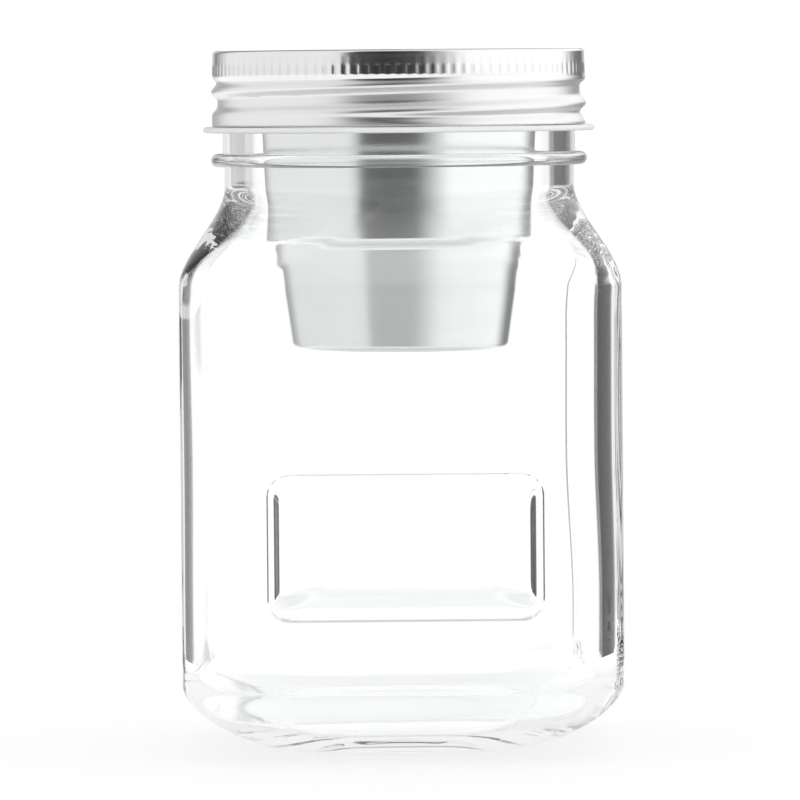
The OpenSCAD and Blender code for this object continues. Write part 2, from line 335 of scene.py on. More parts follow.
class SharedEffects:
    """Node groups that more than one finish uses."""

    def __init__(self) -> None:
        """Builds each group once."""
        self.turned_lines = self._turned_lines()
        self.handling = self._handling()

    @staticmethod
    def _group(name: str, inputs: dict[str, float], outputs: Sequence[str]) -> tuple[Desk, Sockets]:
        """Starts a group with its sockets.

        Args:
            name: The group's name.
            inputs: Name and default of each input.
            outputs: Name of each output.

        Returns:
            The group's desk, and the sockets that bring its inputs in.
        """
        tree = bpy.data.node_groups.new(name, "ShaderNodeTree")
        for key, value in inputs.items():
            socket = tree.interface.new_socket(key, in_out="INPUT", socket_type="NodeSocketFloat")
            socket.default_value = value
        for key in outputs:
            tree.interface.new_socket(key, in_out="OUTPUT", socket_type="NodeSocketFloat")
        desk = Desk(tree)
        return desk, desk.add("NodeGroupInput").outputs

    def _turned_lines(self) -> bpy.types.NodeTree:
        """Builds fine lines that run round the axis, as on spun and drawn metal.

        Returns:
            The group, with Height and Roughness from 0 to 1.
        """
        defaults = {"Density": 900.0, "Length": 5.0}
        desk, given = self._group("turned lines", defaults, ["Height", "Roughness"])
        place = desk.place()
        flat = desk.vector("MULTIPLY", {0: place, 1: (1.0, 1.0, 0.0)})
        reach = desk.vector("LENGTH", {0: flat}, "Value")
        steps = desk.math("ADD", desk.parts(place)["Z"], reach)
        steps = desk.math("MULTIPLY", steps, given["Density"])
        across = desk.add("ShaderNodeCombineXYZ", {"Z": steps}).outputs["Vector"]
        along = desk.vector("SCALE", {0: desk.vector("NORMALIZE", {0: flat}), "Scale": given["Length"]})
        where = desk.vector("ADD", {0: along, 1: across})
        lines = desk.noise(where, 1.0, 3.0, 0.6)
        broad = desk.noise(where, 0.14, 1.0, 0.5)
        desk.add("NodeGroupOutput", {"Height": lines, "Roughness": broad})
        return desk.tree

    def _handling(self) -> bpy.types.NodeTree:
        """Builds soft blotches and fine ripples, as handling and forming leave on a smooth surface.

        Returns:
            The group, with Smudge and Ripple from 0 to 1.
        """
        desk, given = self._group("handling marks", {"Scale": 40.0}, ["Smudge", "Ripple"])
        place = desk.place()
        smudge = desk.noise(place, given["Scale"], 4.0, 0.55)
        ripple = desk.noise(place, desk.math("MULTIPLY", given["Scale"], 1.7), 1.0, 0.4)
        desk.add("NodeGroupOutput", {"Smudge": smudge, "Ripple": ripple})
        return desk.tree


@dataclass(frozen=True, kw_only=True)
class Finish:
    """What all finishes share: a name, a scale of handling marks and one Principled shader."""

    name: str
    mark_scale: float

    def shading(self, desk: Desk, effects: SharedEffects, marks: Sockets) -> Inputs:
        """Chooses the shader's inputs; each kind of finish has its own.

        Args:
            desk: The material's desk.
            effects: The shared node groups.
            marks: The handling marks, Smudge and Ripple.

        Returns:
            A socket or a constant for each input.
        """
        raise NotImplementedError

    def put_on(self, piece: Piece, effects: SharedEffects, slot: str) -> None:
        """Builds the material and gives it to a piece.

        Args:
            piece: The piece to dress.
            effects: The shared node groups.
            slot: Not used.
        """
        material = bpy.data.materials.new(self.name)
        material.use_nodes = True
        desk = Desk(material.node_tree)
        marks = desk.group(effects.handling, {"Scale": self.mark_scale})
        shader = desk.add("ShaderNodeBsdfPrincipled", self.shading(desk, effects, marks))
        desk.add("ShaderNodeOutputMaterial", {"Surface": shader.outputs["BSDF"]})
        piece.data.materials.append(material)
        LOG.info("dressed %s in %s", piece.name, self.name)


@dataclass(frozen=True, kw_only=True)
class MetalFinish(Finish):
    """Sheet metal with fine lines round the axis and faint handling marks."""

    colour: Colour
    worn_colour: Colour
    roughness: Span
    line_density: float
    line_height: float
    mark_scale: float = 55.0

    def shading(self, desk: Desk, effects: SharedEffects, marks: Sockets) -> Inputs:
        """Chooses the shader's inputs.

        Args:
            desk: The material's desk.
            effects: The shared node groups.
            marks: The handling marks, Smudge and Ripple.

        Returns:
            A socket or a constant for each input.
        """
        lines = desk.group(effects.turned_lines, {"Density": self.line_density})
        worn = desk.math("MULTIPLY", marks["Smudge"], lines["Roughness"])
        haze = desk.blend(0.5, lines["Roughness"], marks["Smudge"])
        return {
            "Base Color": self.tone(desk, worn),
            "Roughness": self.dullness(desk, haze),
            "Normal": desk.bump(lines["Height"], 1.0, self.line_height),
            "Metallic": 1.0,
        }

    def tone(self, desk: Desk, worn: Socket) -> Socket:
        """Returns the metal's colour, mixed by how worn it is."""
        return desk.tint(worn, self.colour, self.worn_colour)

    def dullness(self, desk: Desk, haze: Socket) -> Socket:
        """Returns the metal's roughness, spread over its range by the haze."""
        return desk.ranged(haze, self.roughness)


@dataclass(frozen=True, kw_only=True)
class RolledFinish(MetalFinish):
    """Sheet metal that is smoother on its crown than where it is rolled, with painted shade in tight
    creases.
    """

    # Painted shade: the dark colour mixed in where the hollow layer is high.
    painted_shade_colour: Colour
    rolled_roughness: Span
    crown_span: Span

    def tone(self, desk: Desk, worn: Socket) -> Socket:
        """Returns the metal's colour, with the painted shade colour mixed in."""
        return desk.painted_shade(super().tone(desk, worn), self.painted_shade_colour)

    def dullness(self, desk: Desk, haze: Socket) -> Socket:
        """Returns the metal's roughness, which changes over from the rolled skirt to the crown."""
        crown = desk.smooth(desk.parts(desk.place())["Z"], self.crown_span)
        return desk.blend(crown, desk.ranged(haze, self.rolled_roughness), super().dullness(desk, haze))


@dataclass(frozen=True, kw_only=True)
class GlassFinish(Finish):
    """Clear pressed glass with a slow ripple in its surface, and a grey line of painted shade along crisp
    lips.
    """

    clear: Colour
    tinted: Colour
    # Painted shade: a grey mixed into the glass's colour along the panel's lip.
    lip_painted_shade: Colour
    roughness: Span
    ripple_height: float
    index: float = 1.5
    mark_scale: float = 28.0

    def shading(self, desk: Desk, effects: SharedEffects, marks: Sockets) -> Inputs:
        """Chooses the shader's inputs.

        Args:
            desk: The material's desk.
            effects: The shared node groups, which glass takes no lines from.
            marks: The handling marks, Smudge and Ripple.

        Returns:
            A socket or a constant for each input.
        """
        plain = desk.tint(marks["Smudge"], self.clear, self.tinted)
        return {
            # The lip's painted shade is mixed into the colour here.
            "Base Color": desk.painted_shade(plain, self.lip_painted_shade),
            "Roughness": desk.ranged(marks["Smudge"], self.roughness),
            "Normal": desk.bump(marks["Ripple"], 1.0, self.ripple_height),
            "Transmission Weight": 1.0,
            "IOR": self.index,
        }


@dataclass(frozen=True, kw_only=True)
class SoftFinish(Finish):
    """Silicone or sealing compound: matt, faintly mottled and more or less see-through."""

    colour: Colour
    mottle: Colour
    roughness: Span
    see_through: float
    mottle_height: float = 0.05
    index: float = 1.41
    mark_scale: float = 160.0

    def shading(self, desk: Desk, effects: SharedEffects, marks: Sockets) -> Inputs:
        """Chooses the shader's inputs.

        Args:
            desk: The material's desk.
            effects: The shared node groups, which soft pieces take no lines from.
            marks: The handling marks, Smudge and Ripple.

        Returns:
            A socket or a constant for each input.
        """
        return {
            "Base Color": desk.tint(marks["Smudge"], self.colour, self.mottle),
            "Roughness": desk.ranged(marks["Smudge"], self.roughness),
            "Normal": desk.bump(marks["Ripple"], 0.4, self.mottle_height),
            "Transmission Weight": self.see_through,
            "IOR": self.index,
        }


@dataclass(frozen=True)
class ScrewThread:
    """The thread that the neck and the band share, in millimetres and, for its start, degrees."""

    pitch: float = 5.08
    low: float = 121.9
    start: float = 194.0


@dataclass
class GlassJar:
    """The pressed glass jar and the soft ring on its neck. Sizes are in millimetres."""

    half: float = 42.0
    corner: float = 16.0
    wall: float = 3.2
    inner_corner: float = 12.8
    rim: float = 131.2
    foot_half: float = 22.5
    foot_corner: float = 18.0
    foot_height: float = 0.4
    foot_turn: tuple[Span, ...] = ((0.6, 0.15), (1.5, 0.0))
    heel: float = 14.0
    heel_fullness: float = 1.5
    floor: float = 4.2
    floor_half: float = 22.0
    floor_corner: float = 22.0
    floor_dome: float = 0.8
    inner_heel: float = 18.0
    cavity_shift: float = -1.0
    shift_top: float = 106.0
    shift_fade: float = 22.0
    right_thin: float = 0.6
    thin_top: float = 58.0
    wave: float = 0.08
    push_up_reach: float = 17.0
    push_up_depth: float = 1.2
    shoulder_foot: float = 89.7
    shoulder_top: float = 108.9
    neck: float = 34.0
    neck_low: float = 33.7
    mouth: float = 30.0
    rim_round: float = 0.8
    bead_reach: float = 36.3
    bead_height: float = 113.7
    bead_round: float = 1.2
    thread: ScrewThread = ScrewThread()
    thread_turns: float = 1.32
    thread_depth: float = 1.2
    thread_crest: float = 1.0
    thread_root: float = 2.8
    thread_fade: float = 0.12
    panel_width: float = 52.2
    panel_tall: float = 27.9
    panel_height: float = 41.4
    panel_corner: float = 4.4
    panel_side: float = 0.6
    panel_lip: float = 0.4
    panel_lip_depth: float = 0.45
    panel_slope_start: float = 1.2
    panel_slope: float = 1.65
    panel_slope_more: float = 0.18
    panel_slope_tall: float = 8.0
    panel_depth: float = 2.0
    panel_end_fade: float = 6.0
    panel_rows: tuple[float, ...] = (3.6, 4.1, 4.6)
    panel_middle: float = 5.2
    # Width of the painted grey shade line on the panel's lip.
    lip_shade_blur: float = 0.3
    column_start: float = -26.0
    column_count: int = 52
    column_gap: float = 0.35
    ring_reach: float = 37.8
    ring_inner: float = 34.12
    ring_top: float = 120.13
    ring_thick: float = 1.1

    def panel_steps(self) -> list[float]:
        """Returns how far inside the panel's edge the skin is cut finely, over lip and end slopes."""
        return [*spread(-0.1, self.panel_lip + 0.1, 5), *spread(1.1, 3.2, 16)]

    def columns(self) -> list[float]:
        """Chooses the directions of the skin's columns, close together at corners and panel ends.

        Returns:
            Angles in radians, once round.
        """
        ends: list[float] = []
        for sign in (-1.0, 1.0):
            outer = self.panel_side + sign * self.panel_width / 2.0
            sides = [math.atan2(outer - sign * step, self.half) for step in self.panel_steps()]
            ends += [270.0 + math.degrees(side) for side in sides]
        side = spread(self.column_start, self.column_start + 90.0, self.column_count)[:-1]
        marks = [face + a for face in (0.0, 90.0, 180.0, 270.0) for a in side]
        plain = [mark for mark in marks if min(abs(mark - end) for end in ends) > self.column_gap]
        return [math.radians(a) for a in sorted(plain + ends)]

    def panel_inward(self, x: float, z: float) -> tuple[float, float]:
        """Measures a point of the front face against the label panel's edge.

        Args:
            x: Place across the front.
            z: Height.

        Returns:
            How far the point lies inside the edge, and 1 by an end of the panel, 0 by its top or foot.
        """
        across = abs(x - self.panel_side) - (self.panel_width / 2.0 - self.panel_corner)
        along = abs(z - self.panel_height) - (self.panel_tall / 2.0 - self.panel_corner)
        outside = math.hypot(max(across, 0.0), max(along, 0.0))
        inward = self.panel_corner - outside - min(max(across, along), 0.0)
        return inward, ease(0.5 + (across - along) / self.panel_end_fade)

    def lip_shade_share(self, point: Vector) -> float:
        """Finds the share of painted shade, a grey line, on the crisp lip along the panel's top and foot.

        Args:
            point: A point of the glass, in millimetres.

        Returns:
            The share of painted shade, 0 away from the lip and on the inside of the glass.
        """
        if point.y > -self.half + 0.7 * self.wall:
            return 0.0
        inward, end = self.panel_inward(point.x, point.z)
        return max(0.0, 1.0 - abs(inward - 0.5 * self.panel_lip) / self.lip_shade_blur) * (1.0 - end)

    def panel_sink(self, x: float, z: float) -> float:
        """Finds how deep the label panel is sunk at a point of the front face.

        Args:
            x: Place across the front.
            z: Height.

        Returns:
            The depth below the face.
        """
        inward, end = self.panel_inward(x, z)
        lip = self.panel_lip_depth * ease(inward / self.panel_lip)
        end_slope = self.panel_slope * (1.0 + math.copysign(self.panel_slope_more, x))
        slope = mix(self.panel_slope_tall, end_slope, end)
        share = max(0.0, min(1.0, (inward - self.panel_slope_start) / slope))
        return lip + (self.panel_depth - self.panel_lip_depth) * ease(share)

    def thread_rise(self, angle: float, z: float) -> float:
        """Finds how far the thread stands out of the neck.

        Args:
            angle: Direction in radians.
            z: Height.

        Returns:
            The height of the thread there.
        """
        best = 0.0
        base = (math.degrees(angle) - self.thread.start) % 360.0
        for lap in range(3):
            share = (base + 360.0 * lap) / (360.0 * self.thread_turns)
            if share > 1.0:
                break
            off = abs(z - self.thread.low - self.thread.pitch * self.thread_turns * share)
            flank = (off - self.thread_crest / 2.0) / ((self.thread_root - self.thread_crest) / 2.0)
            best = max(best, ease(min(share, 1.0 - share) / self.thread_fade) * (1.0 - ease(flank)))
        return best * self.thread_depth

    def square_place(self, half: float, corner: float, z: float, wall: Wall) -> Place:
        """Makes the rule that places one ring of the body.

        Args:
            half: Half the width across the flats.
            corner: Corner radius.
            z: Height of the ring.
            wall: Which face of the glass the ring is on.

        Returns:
            A function from direction to point, in metres.
        """

        def place(angle: float) -> Vector:
            """Finds the point of the ring in one direction.

            Args:
                angle: Direction in radians.

            Returns:
                The point, in metres.
            """
            reach = square_reach(half, corner, angle)
            if wall is Wall.INSIDE:
                reach += self.inner_wave(angle, z)
            point = Vector((reach * math.cos(angle), reach * math.sin(angle), z))
            if wall is Wall.INSIDE:
                point.x += self.cavity_shift * ease((self.shift_top - z) / self.shift_fade)
            elif point.y < 0.0:
                point.y += self.panel_sink(point.x, z)
            return point * MM

        return place

    def inner_wave(self, angle: float, z: float) -> float:
        """Finds the slow unevenness of the inside wall, which pressing leaves.

        Args:
            angle: Direction in radians.
            z: Height.

        Returns:
            How far the wall stands out there.
        """
        fade = ease((z - self.floor - 6.0) / 14.0) * ease((self.shoulder_top - z) / 16.0)
        slow = math.sin(z / 13.0 + 2.0 * angle) + 0.6 * math.sin(z / 7.0 - 3.0 * angle + 1.0)
        low = ease((self.thin_top - z) / 30.0) * ease((z - self.floor) / 11.0)
        return self.wave * slow * fade + self.right_thin * low * max(0.0, math.cos(angle))

    def round_place(self, reach: float, z: float) -> Place:
        """Makes the rule that places one round ring of the neck, with the thread on it.

        Args:
            reach: Radius of the ring without the thread.
            z: Height of the ring.

        Returns:
            A function from direction to point, in metres.
        """

        def place(angle: float) -> Vector:
            """Returns the point of the ring in one direction."""
            out = reach + (self.thread_rise(angle, z) if reach >= self.neck else 0.0)
            return Vector((out * math.cos(angle), out * math.sin(angle), z)) * MM

        return place

    def inside(self) -> Iterator[Place]:
        """Places the rings of the inside, from the floor up to the rim.

        Yields:
            The rule that places each ring.
        """
        half = self.half - self.wall
        corner = self.inner_corner
        for share in (0.25, 0.5, 0.75, 0.9):
            z = self.floor + self.floor_dome * (1.0 - share**2)
            yield self.square_place(self.floor_half * share, self.floor_corner * share, z, Wall.INSIDE)
        tall = self.inner_heel - self.floor
        for turn in spread(0.0, math.pi / 2.0, 24):
            size = mix(self.floor_half, half, math.sin(turn))
            bend = mix(self.floor_corner, corner, math.sin(turn))
            yield self.square_place(size, bend, self.floor + tall * (1.0 - math.cos(turn)), Wall.INSIDE)
        for z in spread(self.inner_heel, self.shoulder_foot, 30)[1:-1]:
            yield self.square_place(half, corner, z, Wall.INSIDE)
        for share in spread(0.0, 1.0, 40):
            size = mix(half, self.mouth, ease(share))
            bend = mix(corner, size, ease(share))
            z = mix(self.shoulder_foot, self.shoulder_top, share)
            yield self.square_place(size, bend, z, Wall.INSIDE)
        for z in spread(self.shoulder_top, self.rim - self.rim_round, 8)[1:-1]:
            yield self.round_place(self.mouth, z)

    def rim_and_neck(self) -> Iterator[Place]:
        """Places the rings over the rim and down the outside of the neck.

        Yields:
            The rule that places each ring.
        """
        low = self.rim - self.rim_round
        for turn in spread(0.0, math.pi / 2.0, 6):
            reach = self.mouth + self.rim_round * (1.0 - math.cos(turn))
            yield self.round_place(reach, low + self.rim_round * math.sin(turn))
        for turn in spread(0.0, math.pi / 2.0, 6):
            reach = self.neck - self.rim_round * (1.0 - math.sin(turn))
            yield self.round_place(reach, low + self.rim_round * math.cos(turn))
        for z in spread(low, self.bead_height + self.bead_round, 46)[1:]:
            yield self.round_place(self.neck, z)
        for turn in spread(-math.pi / 2.0, math.pi / 2.0, 14):
            reach = self.bead_reach - self.bead_round * (1.0 - math.cos(turn))
            z = self.bead_height - self.bead_round * math.sin(turn)
            yield self.round_place(min(reach, self.bead_reach), z)
        for z in spread(self.bead_height - self.bead_round, self.shoulder_top, 6):
            yield self.round_place(self.neck_low, z)

    def outside(self) -> Iterator[Place]:
        """Places the rings of the outside, from the shoulder down to the hollow under the base.

        Yields:
            The rule that places each ring.
        """
        for share in spread(1.0, 0.0, 48)[1:]:
            size = mix(self.half, self.neck_low, ease(share))
            bend = mix(self.corner, size, ease(share))
            z = mix(self.shoulder_foot, self.shoulder_top, share)
            yield self.square_place(size, bend, z, Wall.OUTSIDE)
        high = self.panel_height + self.panel_tall / 2.0
        low = self.panel_height - self.panel_tall / 2.0
        steps = [*self.panel_steps(), *self.panel_rows]
        levels = spread(self.shoulder_foot, high + 0.2, 10)[1:-1]
        levels += [high - step for step in steps]
        levels += spread(high - self.panel_middle, low + self.panel_middle, 14)
        levels += [low + step for step in steps[::-1]]
        levels += spread(low - 0.2, self.heel, 4)[1:-1]
        for z in levels:
            yield self.square_place(self.half, self.corner, z, Wall.OUTSIDE)
        tall = self.heel - self.foot_height
        power = 2.0 / self.heel_fullness
        for turn in spread(math.pi / 2.0, 0.0, 22):
            out = math.sin(turn) ** power
            up = 1.0 - max(0.0, math.cos(turn)) ** power
            size = mix(self.foot_half, self.half, out)
            bend = mix(self.foot_corner, self.corner, out)
            yield self.square_place(size, bend, self.foot_height + tall * up, Wall.OUTSIDE)
        for inset, z in self.foot_turn:
            yield self.square_place(self.foot_half - inset, self.foot_corner, z, Wall.OUTSIDE)
        for share in spread(1.0, 0.1, 12):
            z = self.push_up_depth * (1.0 - ease(share))
            reach = self.push_up_reach * share
            yield self.square_place(reach, reach, z, Wall.OUTSIDE)

    def build_glass(self) -> Piece:
        """Grows the glass as one closed skin.

        Returns:
            The glass piece.
        """
        rings = [*self.inside(), *self.rim_and_neck(), *self.outside()]
        skin = RingSkin(self.columns())
        skin.set_ring(rings[0])
        skin.close_at(Vector((0.0, 0.0, (self.floor + self.floor_dome) * MM)))
        skin.back_to_start()
        for place in rings[1:]:
            skin.grow(place)
        skin.close_at(Vector((0.0, 0.0, self.push_up_depth * MM)))
        # The hollow layer carries the painted shade line on the panel's lip.
        for vert in skin.mesh.verts:
            vert[skin.hollow] = self.lip_shade_share(vert.co / MM)
        return make_piece("jar_glass", skin.mesh, Body.JAR, "glass_jar", 70.0)

    def build_ring(self) -> Piece:
        """Turns the soft ring that sits on the neck under the lid.

        Returns:
            The ring piece.
        """
        low = self.ring_top - self.ring_thick
        outline = [
            Corner(self.ring_inner, low, 0.2),
            Corner(self.ring_reach, low, 0.5),
            Corner(self.ring_reach, self.ring_top, 0.5),
            Corner(self.ring_inner, self.ring_top, 0.2),
        ]
        return make_piece("soft_neck_ring", Lathe().turn(outline, True), Body.JAR, "neck_ring")

    def dress(self, glass: Piece, ring: Piece, effects: SharedEffects) -> None:
        """Gives the glass and the ring their finishes.

        Args:
            glass: The glass piece.
            ring: The ring piece.
            effects: The shared node groups.
        """
        clear = GlassFinish(
            name="clear pressed glass",
            clear=(0.99, 0.996, 0.994),
            tinted=(0.98, 0.99, 0.987),
            # painted shade: grey for the line along the panel's lip
            lip_painted_shade=(0.4, 0.41, 0.41),
            roughness=(0.0, 0.02),
            ripple_height=0.01,
        )
        soft = SoftFinish(
            name="translucent silicone",
            colour=(0.95, 0.955, 0.955),
            mottle=(0.9, 0.905, 0.905),
            roughness=(0.34, 0.5),
            see_through=0.2,
        )
        clear.put_on(glass, effects, "clear_glass")
        soft.put_on(ring, effects, "clear_silicone")


@dataclass
class SnackPot:
    """The stepped steel pot and the gasket round its flange. Sizes are in millimetres."""

    sheet: float = 0.6
    top: float = 132.55
    deep: float = 55.3
    top_reach: float = 27.0
    step_reach: float = 25.5
    step_width: float = 1.9
    step_drop: float = 34.5
    step_tall: float = 1.3
    low_reach: float = 21.2
    bottom_round: float = 1.2
    bottom_draft: float = 0.4
    flange_reach: float = 33.15
    flange_round: float = 1.6
    gasket_inner: float = 30.3
    gasket_outer: float = 34.2
    gasket_lip: float = 0.7
    gasket_play: float = 0.05

    def wall_outline(self, inset: float) -> list[Corner]:
        """Lists the corners of one face of the pot, from the middle of the bottom up to the flange.

        Args:
            inset: 0 for the outside, the sheet's thickness for the inside.

        Returns:
            The corners.
        """
        bottom = self.top - self.deep + inset
        step = self.top - self.step_drop
        turn = self.flange_round if inset == 0.0 else self.flange_round + self.sheet
        height = self.top - self.sheet + inset
        return [
            Corner(0.0, bottom),
            Corner(self.low_reach - inset - self.bottom_draft, bottom, self.bottom_round - inset, 8),
            Corner(self.step_reach - self.step_width - inset, step - self.step_tall, 0.6),
            Corner(self.step_reach - inset, step, 0.6),
            Corner(self.top_reach - inset, height, turn, 8),
        ]

    def build_pot(self) -> Piece:
        """Turns the pot from its outline.

        Returns:
            The pot piece.
        """
        rim = [
            Corner(self.flange_reach, self.top - self.sheet, 0.2, 3),
            Corner(self.flange_reach, self.top, 0.2, 3),
        ]
        outline = self.wall_outline(0.0) + rim + self.wall_outline(self.sheet)[::-1]
        return make_piece("steel_snack_pot", Lathe().turn(outline, False), Body.POT, "snack_pot", 50.0)

    def build_gasket(self) -> Piece:
        """Turns the gasket that wraps the flange.

        Returns:
            The gasket piece.
        """
        low = self.top - self.sheet - self.gasket_lip
        high = self.top + self.gasket_lip
        groove = self.flange_reach + self.gasket_play
        outline = [
            Corner(self.gasket_inner, low, 0.25),
            Corner(self.gasket_outer, low, 0.5),
            Corner(self.gasket_outer, high, 0.5),
            Corner(self.gasket_inner, high, 0.25),
            Corner(self.gasket_inner, self.top),
            Corner(groove, self.top),
            Corner(groove, self.top - self.sheet),
            Corner(self.gasket_inner, self.top - self.sheet),
        ]
        return make_piece("pot_rim_gasket", Lathe().turn(outline, True), Body.POT, "pot_gasket")

    def dress(self, pot: Piece, gasket: Piece, effects: SharedEffects) -> None:
        """Gives the pot and its gasket their finishes.

        Args:
            pot: The pot piece.
            gasket: The gasket piece.
            effects: The shared node groups.
        """
        steel = MetalFinish(
            name="satin steel",
            colour=(0.89, 0.895, 0.895),
            worn_colour=(0.81, 0.82, 0.82),
            roughness=(0.14, 0.26),
            line_density=5200.0,
            line_height=0.004,
        )
        soft = SoftFinish(
            name="white silicone",
            colour=(0.82, 0.82, 0.81),
            mottle=(0.74, 0.74, 0.73),
            roughness=(0.42, 0.58),
            see_through=0.0,
        )
        steel.put_on(pot, effects, "satin_steel")
        soft.put_on(gasket, effects, "white_silicone")


@dataclass
class LidDisc:
    """The flat metal disc of the lid and the compound ring under it. Sizes are in millimetres."""

    low: float = 133.9
    sheet: float = 0.4
    reach: float = 34.33
    panel_reach: float = 27.48
    panel_rise: float = 0.3
    groove_outer: float = 20.4
    groove_inner: float = 18.0
    groove_slope: float = 0.4
    groove_depth: float = 0.22
    seal_inner: float = 30.3
    seal_outer: float = 34.2
    seal_low: float = 133.3

    def build_disc(self) -> Piece:
        """Turns the disc, with its raised panel and a shallow ring pressed into it.

        Returns:
            The disc piece.
        """
        up = self.low + self.panel_rise
        top = self.low + self.sheet
        high = up + self.sheet
        sunk = high - self.groove_depth
        outline = [
            Corner(0.0, up),
            Corner(self.panel_reach - 0.5, up, 0.2, 3),
            Corner(self.panel_reach, self.low, 0.2, 3),
            Corner(self.reach, self.low, 0.1, 2),
            Corner(self.reach, top, 0.1, 2),
            Corner(self.panel_reach + 0.4, top, 0.2, 3),
            Corner(self.panel_reach - 0.1, high, 0.2, 3),
            Corner(self.groove_outer, high, 0.3, 3),
            Corner(self.groove_outer - self.groove_slope, sunk, 0.2, 3),
            Corner(self.groove_inner + self.groove_slope, sunk, 0.2, 3),
            Corner(self.groove_inner, high, 0.3, 3),
            Corner(0.0, high),
        ]
        return make_piece("lid_disc_plate", Lathe().turn(outline, False), Body.DISC, "lid_disc", 30.0)

    def build_seal(self) -> Piece:
        """Turns the soft ring under the disc.

        Returns:
            The seal piece.
        """
        outline = [
            Corner(self.seal_inner, self.seal_low, 0.25),
            Corner(self.seal_outer, self.seal_low, 0.25),
            Corner(self.seal_outer, self.low),
            Corner(self.seal_inner, self.low),
        ]
        return make_piece("lid_disc_seal", Lathe().turn(outline, True), Body.DISC, "disc_seal")

    def dress(self, disc: Piece, seal: Piece, effects: SharedEffects) -> None:
        """Gives the disc and its seal their finishes.

        Args:
            disc: The disc piece.
            seal: The seal piece.
            effects: The shared node groups.
        """
        tin = MetalFinish(
            name="tinplate disc",
            colour=(0.8, 0.8, 0.795),
            worn_colour=(0.72, 0.72, 0.72),
            roughness=(0.12, 0.26),
            line_density=2600.0,
            line_height=0.003,
        )
        compound = SoftFinish(
            name="seal compound",
            colour=(0.42, 0.41, 0.4),
            mottle=(0.36, 0.35, 0.34),
            roughness=(0.52, 0.68),
            see_through=0.0,
        )
        tin.put_on(disc, effects, "tinplate_disc")
        compound.put_on(seal, effects, "seal_compound")


